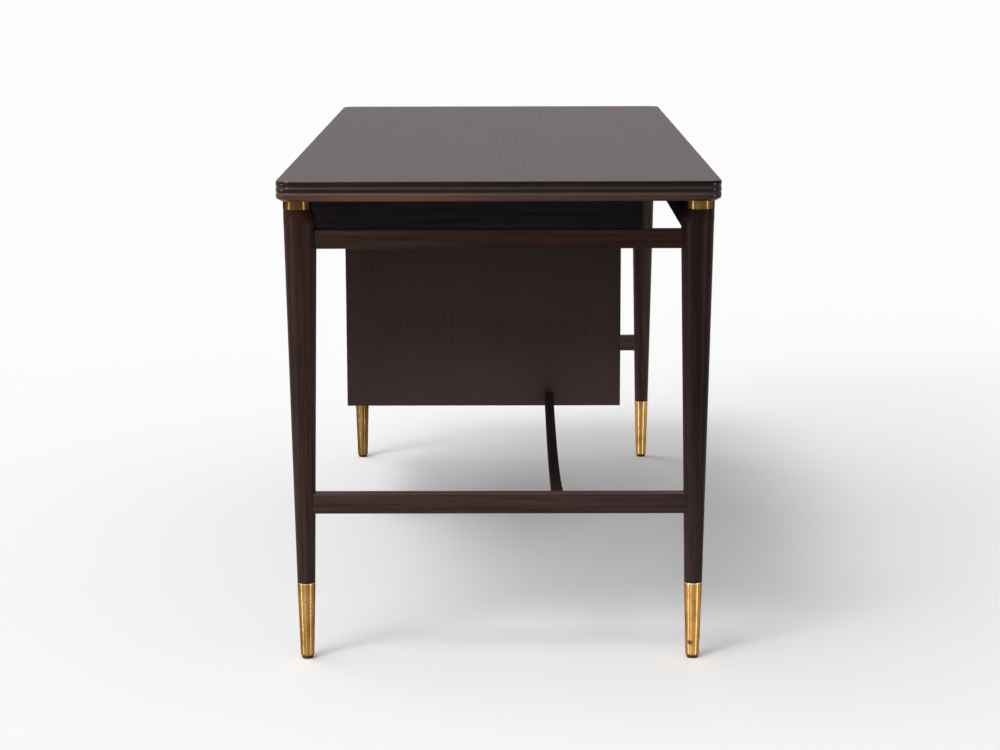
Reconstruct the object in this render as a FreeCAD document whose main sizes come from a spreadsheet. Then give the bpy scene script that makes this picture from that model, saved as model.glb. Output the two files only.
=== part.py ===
import FreeCAD, Part
import os
import types

import Sketcher

# A writing desk on four turned legs, with a pedestal closed by two sliding tambour leaves.
# Millimetres. X runs along the desk, from the pedestal's end (-X) to the open end (+X). The sitter is
# at -Y. Z is up from the floor, and the origin is on the floor under the middle of the top.

SIZES = {
    # Top
    "overall_height": 737,
    "top_length": 1524,
    "top_depth": 655,
    "top_corner_radius": 20,
    "bead_height": 8.7,
    "bead_depth": 1.1,
    "bevel_height": 3.9,
    "bevel_inset": 6.8,
    # Legs
    "leg_end_inset": 50,
    "leg_side_inset": 32.5,
    "leg_widest": 49,
    "leg_at_sabot": 27.4,
    "leg_top_width": 41.6,
    "leg_lean": 4,
    "neck_height": 24,
    "neck_shoulder": 12,
    "shoulder_inset": 1,
    "shoulder_lean": 1.4,
    "collar_height": 15,
    "collar_proud": 0.3,
    "collar_round": 0.6,
    "spigot_width": 20,
    "spigot_depth": 16,
    # Feet
    "sabot_height": 116,
    "sabot_foot_width": 20.4,
    "sabot_wall": 1.5,
    "sabot_floor": 2,
    "sabot_round": 2.5,
    "glide_height": 4,
    "glide_inset": 1.7,
    "glide_round": 1.2,
    "nail_width": 5,
    "nail_length": 20,
    "nail_tip": 4,
    "pin_width": 2.4,
    "pin_height": 92,
    "pin_root": 4,
    "pin_proud": 0.3,
    # Rails and stretchers
    "upper_rail_drop": 46,
    "upper_rail_height": 28,
    "lower_rail_top": 260,
    "lower_rail_height": 31,
    "rail_thickness": 20,
    "rear_rail_thickness": 18,
    "rear_rail_shift": 3.5,
    "rail_round": 1.2,
    "tenon_thickness": 8,
    "tenon_shoulder": 4,
    "tenon_end": 6,
    "stretcher_width": 16,
    "stretcher_depth": 20,
    "stretcher_sag": 30,
    "stretcher_setback": 89,
    "stretcher_chamfer": 1.5,
    "dowel_width": 8,
    "dowel_length": 9,
    # Case
    "case_end_inset": 172,
    "case_front_inset": 44.5,
    "case_back_inset": 107.5,
    "frieze_proud": 12,
    "case_height": 85,
    "pedestal_width": 506,
    "pedestal_drop": 25,
    "panel_thickness": 18,
    "divider_thickness": 12,
    "back_thickness": 10,
    "top_rail_thickness": 10,
    "top_rail_width": 40,
    "screw_width": 4,
    "screw_head_width": 8,
    "screw_head_height": 2.5,
    "screw_grip": 15,
    "screw_end_inset": 90,
    # Tambour
    "track_height": 10,
    "track_width": 31,
    "track_inset": 2,
    "groove_width": 5,
    "groove_depth": 6.5,
    "groove_inset": 10,
    "groove_pitch": 12,
    "leaf_overlap": 14,
    "slat_pitch": 16.6,
    "slat_gap": 0.6,
    "slat_depth": 7,
    "slat_side_depth": 3,
    "tongue_gap": 0.2,
    "stile_width": 28,
    "stile_round": 1.5,
    "canvas_thickness": 0.8,
    "cup_width": 18,
    "cup_lip": 2.5,
    "cup_flange_thickness": 0.8,
    "cup_wall": 0.8,
    # Shelf
    "shelf_thickness": 16,
    "shelf_lift": 167,
    "shelf_front_gap": 6,
    "shelf_pin_width": 6,
    "shelf_pin_reach": 12,
    "shelf_pin_hole_depth": 10,
    "shelf_pin_inset": 40,
    "shelf_pin_pitch": 32,
    # Drawers
    "drawer_gap": 1.5,
    "drawer_side_gap": 1,
    "drawer_front_thickness": 18,
    "drawer_board": 10,
    "drawer_side_drop": 12.7,
    "drawer_bottom_thickness": 5,
    "drawer_bottom_lift": 6,
    "drawer_groove_depth": 4,
    "drawer_housing_depth": 6,
    "knob_width": 18,
    "knob_neck_width": 9,
    "knob_reach": 19,
    "knob_cap": 8,
    "knob_peg_width": 6,
    "knob_peg_length": 12,
    "knob_round": 2.5,
    # Fits
    "fit": 0.1,
    "cope_gap": 0.05,
    "running_gap": 0.3,
    "end_gap": 0.5,
    "overrun": 5,
}

LEG_SIDES = {"left": -1, "right": 1}
LEG_ROWS = {"front": -1, "rear": 1}
BEADS = 3
PIN_HOLES = 3
PENCIL_KNOB_SHARES = (0.25, 0.75)
PEDESTAL_KNOB_SHARES = (0.5,)

# Numbers that are shares of a size, or that only compare shapes
CORNER_SHARE = 1 - 0.5 ** 0.5
LONG_EDGE_SHARE = 0.6
FLATNESS = 1e-4


class Length:
    """A length, with the sheet expression that gives it."""

    def __init__(self, text, value):
        self.text = text
        self.value = value

    def __add__(self, other):
        return Length("(%s + %s)" % (self.text, text_of(other)), self.value + value_of(other))

    def __sub__(self, other):
        return Length("(%s - %s)" % (self.text, text_of(other)), self.value - value_of(other))

    def __mul__(self, other):
        return Length("(%s * %s)" % (self.text, text_of(other)), self.value * value_of(other))

    def __truediv__(self, other):
        return Length("(%s / %s)" % (self.text, text_of(other)), self.value / value_of(other))

    def __neg__(self):
        return Length("(-%s)" % self.text, -self.value)


def text_of(item):
    return item.text if isinstance(item, Length) else str(item)


def value_of(item):
    return item.value if isinstance(item, Length) else item


def bind(item, name, length):
    """Ties a property to the sheet."""
    item.setExpression(name, text_of(length))


# Document and sheet
doc = FreeCAD.newDocument("tambour_desk")
sheet = doc.addObject("Spreadsheet::Sheet", "Sizes")
d = types.SimpleNamespace()
for row, (name, number) in enumerate(SIZES.items(), start=1):
    sheet.set("A%d" % row, name)
    sheet.set("B%d" % row, str(number))
    sheet.setAlias("B%d" % row, name)
    setattr(d, name, Length("Sizes." + name, number))
doc.recompute()

bodies = []


# Sketches and features
def new_body(label):
    body = doc.addObject("PartDesign::Body", label)
    body.Label = label
    bodies.append(body)
    return body


def new_sketch(body, role, offset=0):
    """A sketch on one of the body's own origin planes, moved along the plane's normal."""
    plane = [item for item in body.Origin.OriginFeatures if item.Role == role][0]
    sketch = body.newObject("Sketcher::SketchObject", body.Name + "_sketch")
    sketch.AttachmentSupport = (plane, [""])
    sketch.MapMode = "FlatFace"
    bind(sketch, "AttachmentOffset.Base.z", offset)
    return sketch


def dimension(sketch, kind, references, length):
    """A driving dimension that follows the sheet."""
    number = sketch.addConstraint(Sketcher.Constraint(kind, *references, value_of(length)))
    sketch.setExpression("Constraints[%d]" % number, text_of(length))


def place_point(sketch, edge, end, point):
    """Fixes an edge's end at its two coordinates."""
    for kind, axis, length in (("DistanceX", -2, point[0]), ("DistanceY", -1, point[1])):
        if value_of(length) == 0:
            sketch.addConstraint(Sketcher.Constraint("PointOnObject", edge, end, axis))
        else:
            dimension(sketch, kind, (-1, 1, edge, end), length)


def outline(sketch, points, arcs=None):
    """A closed outline. arcs gives an edge's number its radius and a point near its middle."""
    arcs = arcs or {}
    spots = [FreeCAD.Vector(value_of(x), value_of(y), 0) for x, y in points]
    ends = []
    for number, start in enumerate(spots):
        stop = spots[(number + 1) % len(spots)]
        if number in arcs:
            radius, middle = arcs[number]
            middle = FreeCAD.Vector(value_of(middle[0]), value_of(middle[1]), 0)
            forward = (stop - start).cross(middle - start).z < 0
            edge = sketch.addGeometry(Part.Arc(start, middle, stop), False)
            ends.append((edge, 1, 2) if forward else (edge, 2, 1))
        else:
            edge = sketch.addGeometry(Part.LineSegment(start, stop), False)
            ends.append((edge, 1, 2))
    for number, (edge, start, stop) in enumerate(ends):
        following = ends[(number + 1) % len(ends)]
        sketch.addConstraint(Sketcher.Constraint("Coincident", edge, stop, following[0], following[1]))
        place_point(sketch, edge, start, points[number])
    for number, (radius, middle) in arcs.items():
        dimension(sketch, "Radius", (ends[number][0],), radius)


def rectangle(sketch, low, high):
    outline(sketch, [low, (high[0], low[1]), high, (low[0], high[1])])


def circle(sketch, centre, radius):
    spot = FreeCAD.Vector(value_of(centre[0]), value_of(centre[1]), 0)
    edge = sketch.addGeometry(Part.Circle(spot, FreeCAD.Vector(0, 0, 1), value_of(radius)), False)
    place_point(sketch, edge, 3, centre)
    dimension(sketch, "Radius", (edge,), radius)


def rounded_rectangle(sketch, half_x, half_y, radius):
    """Starts at the middle of the front edge, so that a profile can be swept from there."""
    x, y = half_x - radius, half_y - radius
    cut = radius * CORNER_SHARE
    points = [(0, -half_y), (x, -half_y), (half_x, -y), (half_x, y), (x, half_y), (-x, half_y),
              (-half_x, y), (-half_x, -y), (-x, -half_y)]
    corners = {1: (1, -1), 3: (1, 1), 5: (-1, 1), 7: (-1, -1)}
    arcs = {}
    for number, (right, up) in corners.items():
        arcs[number] = (radius, ((half_x - cut) * right, (half_y - cut) * up))
    outline(sketch, points, arcs)


def arc_radius(chord, rise):
    """The radius of an arc from its chord and its rise."""
    return (chord * chord / 4 + rise * rise) / (rise * 2)


def feature(body, kind, sketch, **settings):
    item = body.newObject("PartDesign::" + kind, body.Name + "_" + kind.lower())
    item.Profile = sketch
    for name, setting in settings.items():
        if isinstance(setting, Length):
            bind(item, name, setting)
        else:
            setattr(item, name, setting)
    return item


def revolve(body, sketch):
    return feature(body, "Revolution", sketch, ReferenceAxis=(sketch, ["V_Axis"]))


def block(body, kind, low, size):
    """Adds or cuts a box, given its low corner and its size."""
    item = body.newObject("PartDesign::%sBox" % kind, body.Name + "_box")
    for name, length in zip(("Length", "Width", "Height"), size):
        bind(item, name, length)
    for name, length in zip("xyz", low):
        bind(item, "Placement.Base." + name, length)
    return item


def rod(body, kind, start, radius, length, along):
    """Adds or cuts a cylinder that starts at a point and runs along +X, -X, -Y or +Z."""
    item = body.newObject("PartDesign::%sCylinder" % kind, body.Name + "_rod")
    turns = {"+X": ((0, 1, 0), 90), "-X": ((0, 1, 0), -90), "-Y": ((1, 0, 0), 90), "+Z": ((0, 0, 1), 0)}
    axis, angle = turns[along]
    item.Placement = FreeCAD.Placement(FreeCAD.Vector(), FreeCAD.Rotation(FreeCAD.Vector(*axis), angle))
    bind(item, "Radius", radius)
    bind(item, "Height", length)
    for name, place in zip("xyz", start):
        bind(item, "Placement.Base." + name, place)
    return item


def soften(body, kind, size, chosen):
    """Fillets or chamfers the edges of the body's last feature that the test picks."""
    doc.recompute()
    base = body.Tip
    names = ["Edge%d" % number for number, edge in enumerate(base.Shape.Edges, start=1) if chosen(edge)]
    item = body.newObject("PartDesign::" + kind, body.Name + "_" + kind.lower())
    item.Base = (base, names)
    bind(item, "Radius" if kind == "Fillet" else "Size", size)


def round_edges(body, radius, chosen):
    soften(body, "Fillet", radius, chosen)


def runs_along(edge, axis):
    """True for a straight edge, or a long arc, that runs along the axis."""
    span = [edge.BoundBox.XLength, edge.BoundBox.YLength, edge.BoundBox.ZLength]
    return len(edge.Vertexes) == 2 and span["XYZ".index(axis)] > sum(span) * LONG_EDGE_SHARE


def is_ring_at(edge, height):
    """True for a whole circle that lies level at the height."""
    level = edge.BoundBox.ZLength < FLATNESS
    return len(edge.Vertexes) == 1 and level and abs(edge.BoundBox.ZMin - value_of(height)) < FLATNESS


def panel(label, low, high):
    """A plain board: a rectangle padded upwards."""
    body = new_body(label)
    board(body, low, high)
    return body


def board(body, low, high):
    sketch = new_sketch(body, "XY_Plane", low[2])
    rectangle(sketch, low[:2], high[:2])
    return feature(body, "Pad", sketch, Length=high[2] - low[2])


# Places that several pieces share
underside = d.overall_height - d.bead_height * BEADS - d.bevel_height
bead_low = underside + d.bevel_height
leg_x = d.top_length / 2 - d.leg_end_inset
leg_y = d.top_depth / 2 - d.leg_side_inset
leg_radius = d.leg_widest / 2
upper_rail_top = underside - d.upper_rail_drop
upper_rail_low = upper_rail_top - d.upper_rail_height
lower_rail_low = d.lower_rail_top - d.lower_rail_height
sabot_top = d.glide_height + d.sabot_height
core_low = d.glide_height + d.sabot_floor
collar_low = underside - d.collar_height
neck_low = collar_low - d.neck_height
collar_radius = d.leg_top_width / 2 + d.collar_proud

case_half = d.top_length / 2 - d.case_end_inset
case_front = d.case_front_inset - d.top_depth / 2
frieze_front = case_front - d.frieze_proud
case_back = d.top_depth / 2 - d.case_back_inset
inner_back = case_back - d.back_thickness
case_low = underside - d.case_height
drawer_floor = case_low + d.divider_thickness
rail_low = underside - d.top_rail_thickness
pedestal_left = -case_half
pedestal_right = d.pedestal_width - case_half
bay_left = pedestal_left + d.panel_thickness
bay_right = pedestal_right - d.panel_thickness
frieze_right = case_half - d.panel_thickness
pedestal_low = d.lower_rail_top - d.pedestal_drop
pedestal_floor = pedestal_low + d.panel_thickness
compartment_low = pedestal_floor + d.track_height
compartment_high = case_low - d.track_height
shelf_low = compartment_low + d.shelf_lift
stretcher_high = d.lower_rail_top
stretcher_middle = stretcher_high - d.stretcher_depth / 2
rail_inner_x = leg_x - d.rail_thickness / 2


def mirrored_interval(sign, near, far):
    """The low end and the length of a stretch from near to far, on one side of zero."""
    return (near if sign > 0 else -far), far - near


# Top
def make_top():
    body = new_body("top_slab")
    half_x = d.top_length / 2 - d.bead_depth
    half_y = d.top_depth / 2 - d.bead_depth
    corner = d.top_corner_radius - d.bead_depth
    core = new_sketch(body, "XY_Plane", bead_low)
    rounded_rectangle(core, half_x, half_y, corner)
    feature(body, "Pad", core, Length=d.bead_height * BEADS)

    # Beads swept round the edge
    profile = new_sketch(body, "YZ_Plane")
    heights = [bead_low + d.bead_height * count for count in range(BEADS + 1)]
    points = [(d.bead_depth - half_y, bead_low)] + [(-half_y, height) for height in heights]
    points.append((d.bead_depth - half_y, heights[-1]))
    radius = arc_radius(d.bead_height, d.bead_depth)
    arcs = {}
    for count in range(BEADS):
        arcs[count + 1] = (radius, (-half_y - d.bead_depth, heights[count] + d.bead_height / 2))
    outline(profile, points, arcs)
    feature(body, "AdditivePipe", profile, Spine=core)

    # The bevel under the beads
    under = new_sketch(body, "XY_Plane", underside)
    rounded_rectangle(under, half_x - d.bevel_inset, half_y - d.bevel_inset, corner - d.bevel_inset)
    feature(body, "AdditiveLoft", under, Sections=[core])

    # Blind holes for the leg spigots and the screws
    holes = new_sketch(body, "XY_Plane", underside)
    for right in LEG_SIDES.values():
        for back in LEG_ROWS.values():
            circle(holes, (leg_x * right, (leg_y + d.leg_lean) * back), d.spigot_width / 2 + d.fit)
    feature(body, "Pocket", holes, Length=d.spigot_depth + d.fit, Reversed=True)
    pilots = new_sketch(body, "XY_Plane", underside)
    for spot in screw_spots():
        circle(pilots, spot, d.screw_width / 2 + d.fit)
    feature(body, "Pocket", pilots, Length=d.screw_grip + d.fit, Reversed=True)


def screw_spots():
    """Two screws in each rail under the top, over both bays. The front ones clear the drawer fronts."""
    front = frieze_front + (d.drawer_front_thickness + d.top_rail_width) / 2
    rows = (front, inner_back - d.top_rail_width / 2)
    columns = []
    for low, high in ((bay_left, bay_right), (pedestal_right, frieze_right)):
        columns += [low + d.screw_end_inset, high - d.screw_end_inset]
    return [(x, y) for x in columns for y in rows]


# Legs and feet
def core_radius(outer):
    return outer / 2 - d.sabot_wall - d.cope_gap


def make_leg(row, back, side, right):
    """The leg's own axis is upright at its body's origin."""
    body = new_body("leg_%s_%s" % (row, side))
    profile = new_sketch(body, "XZ_Plane")
    outline(profile, [(0, core_low), (core_radius(d.sabot_foot_width), core_low),
                      (core_radius(d.leg_at_sabot), sabot_top), (d.leg_at_sabot / 2, sabot_top),
                      (leg_radius, neck_low), (0, neck_low)])
    revolve(body, profile)

    # The neck is rounded in and leans out to the collar. Its spigot goes through the collar into the top
    lean = d.leg_lean * back
    rings = []
    for height, shift, radius in ((neck_low, 0, leg_radius),
                                  (neck_low + d.neck_shoulder, d.shoulder_lean * back,
                                   leg_radius - d.shoulder_inset),
                                  (collar_low, lean, d.leg_top_width / 2)):
        rings.append(new_sketch(body, "XY_Plane", height))
        circle(rings[-1], (0, shift), radius)
    feature(body, "AdditiveLoft", rings[0], Sections=rings[1:])
    spigot = new_sketch(body, "XY_Plane", collar_low)
    circle(spigot, (0, lean), d.spigot_width / 2)
    feature(body, "Pad", spigot, Length=d.collar_height + d.spigot_depth)

    # Mortises for the end rails, and for the rear rail in the rear legs
    for top, height in ((upper_rail_top, d.upper_rail_height), (d.lower_rail_top, d.lower_rail_height)):
        across, width = d.tenon_thickness / 2 + d.fit, d.tenon_thickness + d.fit * 2
        inward, depth = mirrored_interval(-back, d.tenon_end - d.fit, leg_radius + d.tenon_thickness)
        low_z = top - height + d.tenon_shoulder - d.fit
        block(body, "Subtractive", (-across, inward, low_z), (width, depth, tenon_height(height)))
        if back > 0 and top is upper_rail_top:
            inward, depth = mirrored_interval(-right, d.tenon_end - d.fit, leg_radius + d.tenon_thickness)
            spot = (inward, d.rear_rail_shift - across, low_z)
            block(body, "Subtractive", spot, (depth, width, tenon_height(height)))

    rod(body, "Subtractive", (0, 0, core_low - d.overrun), d.nail_width / 2 + d.fit,
        d.overrun + d.nail_length, "+Z")
    drill_for_pin(body, right)
    bind(body, "Placement.Base.x", leg_x * right)
    bind(body, "Placement.Base.y", leg_y * back)


def tenon_height(rail_height):
    return rail_height - d.tenon_shoulder * 2 + d.fit * 2


def drill_for_pin(body, right):
    """The sabot's pin goes in level, from the desk's end."""
    start = (d.pin_root - d.fit) * right
    rod(body, "Subtractive", (start, 0, d.pin_height), d.pin_width / 2 + d.fit, leg_radius,
        "+X" if right > 0 else "-X")


def sabot_radius(height):
    """The sabot's outer radius at a height."""
    share = (height - d.glide_height) / d.sabot_height
    return d.sabot_foot_width / 2 + (d.leg_at_sabot - d.sabot_foot_width) / 2 * share


def make_foot(row, back, side, right):
    collar = new_body("collar_%s_%s" % (row, side))
    ring = new_sketch(collar, "XY_Plane", collar_low)
    lean = d.leg_lean * back
    circle(ring, (0, lean), collar_radius)
    circle(ring, (0, lean), d.spigot_width / 2 + d.fit)
    feature(collar, "Pad", ring, Length=d.collar_height)
    round_edges(collar, d.collar_round,
                lambda edge: len(edge.Vertexes) == 1 and edge.BoundBox.XLength > collar_radius.value)

    sabot = new_body("sabot_%s_%s" % (row, side))
    profile = new_sketch(sabot, "XZ_Plane")
    foot, mouth, bore = d.sabot_foot_width / 2, d.leg_at_sabot / 2, d.nail_width / 2 + d.fit
    outline(profile, [(bore, d.glide_height), (foot, d.glide_height), (mouth, sabot_top),
                      (mouth - d.sabot_wall, sabot_top), (foot - d.sabot_wall, core_low),
                      (bore, core_low)])
    revolve(sabot, profile)
    round_edges(sabot, d.sabot_round,
                lambda edge: is_ring_at(edge, d.glide_height) and edge.BoundBox.XLength > foot.value)
    drill_for_pin(sabot, right)

    glide = new_body("glide_%s_%s" % (row, side))
    profile = new_sketch(glide, "XZ_Plane")
    rim = foot - d.glide_inset
    outline(profile, [(0, 0), (rim, 0), (rim, d.glide_height), (d.nail_width / 2, d.glide_height),
                      (d.nail_width / 2, d.glide_height + d.nail_length - d.nail_tip),
                      (0, d.glide_height + d.nail_length)])
    revolve(glide, profile)
    round_edges(glide, d.glide_round, lambda edge: is_ring_at(edge, 0))
    for body in (collar, sabot, glide):
        bind(body, "Placement.Base.x", leg_x * right)
        bind(body, "Placement.Base.y", leg_y * back)


def make_sabot_pins():
    body = new_body("sabot_pins")
    length = sabot_radius(d.pin_height) + d.pin_proud - d.pin_root
    for right in LEG_SIDES.values():
        for back in LEG_ROWS.values():
            start = ((leg_x + d.pin_root) * right, leg_y * back, d.pin_height)
            rod(body, "Additive", start, d.pin_width / 2, length, "+X" if right > 0 else "-X")


# Rails and stretchers
def cope(body, x, y):
    """Cuts a rail's end to the leg's taper."""
    cone = body.newObject("PartDesign::SubtractiveCone", body.Name + "_cope")
    bind(cone, "Radius1", d.leg_at_sabot / 2 + d.cope_gap)
    bind(cone, "Radius2", leg_radius + d.cope_gap)
    bind(cone, "Height", neck_low - sabot_top)
    for name, place in zip("xyz", (x, y, sabot_top)):
        bind(cone, "Placement.Base." + name, place)


def make_end_rail(level, side, right, top, height):
    body = new_body("%s_end_rail_%s" % (level, side))
    section = new_sketch(body, "XZ_Plane")
    x = leg_x * right
    rectangle(section, (x - d.rail_thickness / 2, top - height), (x + d.rail_thickness / 2, top))
    feature(body, "Pad", section, Length=leg_y * 2, SideType="Symmetric")
    round_edges(body, d.rail_round, lambda edge: runs_along(edge, "Y"))
    root, tip = leg_y - leg_radius - d.tenon_thickness, leg_y - d.tenon_end
    for back in LEG_ROWS.values():
        cope(body, x, leg_y * back)
    for back in LEG_ROWS.values():
        low, length = mirrored_interval(back, root, tip)
        block(body, "Additive", (x - d.tenon_thickness / 2, low, top - height + d.tenon_shoulder),
              (d.tenon_thickness, length, height - d.tenon_shoulder * 2))
    if level == "lower":
        start = ((rail_inner_x - d.overrun) * right, d.stretcher_setback, stretcher_middle)
        rod(body, "Subtractive", start, d.dowel_width / 2 + d.fit, d.dowel_length + d.overrun + d.fit,
            "+X" if right > 0 else "-X")


def make_rear_rail():
    body = new_body("rear_rail")
    section = new_sketch(body, "YZ_Plane")
    y = leg_y + d.rear_rail_shift
    half = d.rear_rail_thickness / 2
    rectangle(section, (y - half, upper_rail_low), (y + half, upper_rail_top))
    feature(body, "Pad", section, Length=leg_x * 2, SideType="Symmetric")
    round_edges(body, d.rail_round, lambda edge: runs_along(edge, "X"))
    root, tip = leg_x - leg_radius - d.tenon_thickness, leg_x - d.tenon_end
    for right in LEG_SIDES.values():
        cope(body, leg_x * right, leg_y)
    for right in LEG_SIDES.values():
        low, length = mirrored_interval(right, root, tip)
        block(body, "Additive", (low, y - d.tenon_thickness / 2, upper_rail_low + d.tenon_shoulder),
              (length, d.tenon_thickness, d.upper_rail_height - d.tenon_shoulder * 2))


def make_stretcher(label, left, right, sag=None):
    """A bar between two upright faces, with a dowel at each end. The long one sags."""
    body = new_body(label)
    profile = new_sketch(body, "XZ_Plane", -d.stretcher_setback)
    low = stretcher_high - d.stretcher_depth
    arcs = {}
    if sag is not None:
        centre = (left + right) / 2
        radius = arc_radius(right - left, sag)
        arcs = {0: (radius, (centre, low - sag)), 2: (radius, (centre, stretcher_high - sag))}
    outline(profile, [(left, low), (right, low), (right, stretcher_high), (left, stretcher_high)], arcs)
    feature(body, "Pad", profile, Length=d.stretcher_width, SideType="Symmetric")
    soften(body, "Chamfer", d.stretcher_chamfer, lambda edge: runs_along(edge, "X"))
    length = d.dowel_length * 2
    for start in (left - d.dowel_length, right - d.dowel_length):
        rod(body, "Additive", (start, d.stretcher_setback, stretcher_middle), d.dowel_width / 2,
            length, "+X")


# Case
def make_pedestal_side(label, low_x, dowel_face, dowel_along, pin_face, pin_along):
    """The side steps forward above the pedestal, where it carries the frieze."""
    body = panel(label, (low_x, case_front, pedestal_low),
                 (low_x + d.panel_thickness, case_back, underside))
    block(body, "Additive", (low_x, frieze_front, case_low),
          (d.panel_thickness, d.frieze_proud + d.panel_thickness, d.case_height))
    rod(body, "Subtractive", (dowel_face, d.stretcher_setback, stretcher_middle),
        d.dowel_width / 2 + d.fit, d.dowel_length + d.fit, dowel_along)
    for y in pin_rows():
        for count in range(PIN_HOLES):
            height = pin_height() + d.shelf_pin_pitch * (count - 1)
            rod(body, "Subtractive", (pin_face, y, height), d.shelf_pin_width / 2 + d.fit,
                d.shelf_pin_hole_depth, pin_along)


def shelf_front():
    return case_front + d.track_inset + d.track_width + d.shelf_front_gap


def pin_rows():
    return (shelf_front() + d.shelf_pin_inset, inner_back - d.shelf_pin_inset)


def pin_height():
    """The pins' axis, so that the shelf lies on top of them."""
    return shelf_low - d.shelf_pin_width / 2 - d.cope_gap


def make_case():
    make_pedestal_side("pedestal_outer_side", pedestal_left, pedestal_left, "+X", bay_left, "-X")
    make_pedestal_side("pedestal_inner_side", bay_right, pedestal_right, "-X", bay_right, "+X")
    panel("pedestal_bottom", (bay_left, case_front, pedestal_low), (bay_right, inner_back, pedestal_floor))
    panel("pedestal_divider", (bay_left, frieze_front, case_low), (bay_right, inner_back, drawer_floor))
    panel("pedestal_back", (bay_left, inner_back, pedestal_low), (bay_right, case_back, underside))
    panel("frieze_bottom", (pedestal_right, frieze_front, case_low),
          (frieze_right, inner_back, drawer_floor))
    panel("frieze_back", (pedestal_right, inner_back, case_low), (frieze_right, case_back, underside))
    panel("frieze_end_panel", (frieze_right, frieze_front, case_low), (case_half, case_back, underside))

    rails = new_body("case_top_rails")
    for left, right in ((bay_left, bay_right), (pedestal_right, frieze_right)):
        for front in (frieze_front, inner_back - d.top_rail_width):
            board(rails, (left, front, rail_low), (right, front + d.top_rail_width, underside))
    holes = new_sketch(rails, "XY_Plane", rail_low)
    for spot in screw_spots():
        circle(holes, spot, d.screw_width / 2 + d.fit)
    feature(rails, "Pocket", holes, Length=d.top_rail_thickness, Reversed=True)

    screws = new_body("case_screws")
    head_low = rail_low - d.screw_head_height
    heads = new_sketch(screws, "XY_Plane", head_low)
    shanks = new_sketch(screws, "XY_Plane", head_low)
    for spot in screw_spots():
        circle(heads, spot, d.screw_head_width / 2)
        circle(shanks, spot, d.screw_width / 2)
    feature(screws, "Pad", heads, Length=d.screw_head_height)
    shank = d.screw_head_height + d.top_rail_thickness + d.screw_grip
    feature(screws, "Pad", shanks, Length=shank)


# Shelf
def make_shelf():
    panel("shelf", (bay_left + d.end_gap, shelf_front(), shelf_low),
          (bay_right - d.end_gap, inner_back - d.end_gap, shelf_low + d.shelf_thickness))
    pins = new_body("shelf_pins")
    length = d.shelf_pin_hole_depth - d.fit + d.shelf_pin_reach
    for y in pin_rows():
        rod(pins, "Additive", (bay_left + d.shelf_pin_reach, y, pin_height()), d.shelf_pin_width / 2,
            length, "-X")
        rod(pins, "Additive", (bay_right - d.shelf_pin_reach, y, pin_height()), d.shelf_pin_width / 2,
            length, "+X")


# Tambour
leaf_width = (bay_right - bay_left + d.leaf_overlap) / 2 - d.end_gap
slat_count = int((leaf_width.value - d.stile_width.value) / d.slat_pitch.value)


def make_track(label, low_z, groove_low):
    """A strip with two grooves, which run its whole length."""
    front = case_front + d.track_inset
    body = panel(label, (bay_left, front, low_z),
                 (bay_right, front + d.track_width, low_z + d.track_height))
    for middle in (groove_middle("left"), groove_middle("right")):
        block(body, "Subtractive", (bay_left - d.overrun, middle - d.groove_width / 2, groove_low),
              (bay_right - bay_left + d.overrun * 2, d.groove_width, d.groove_depth + d.overrun))


def groove_middle(side):
    """The left leaf runs in the front grooves and the right leaf in the rear ones."""
    front = case_front + d.groove_inset
    return front if side == "left" else front + d.groove_pitch


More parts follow.
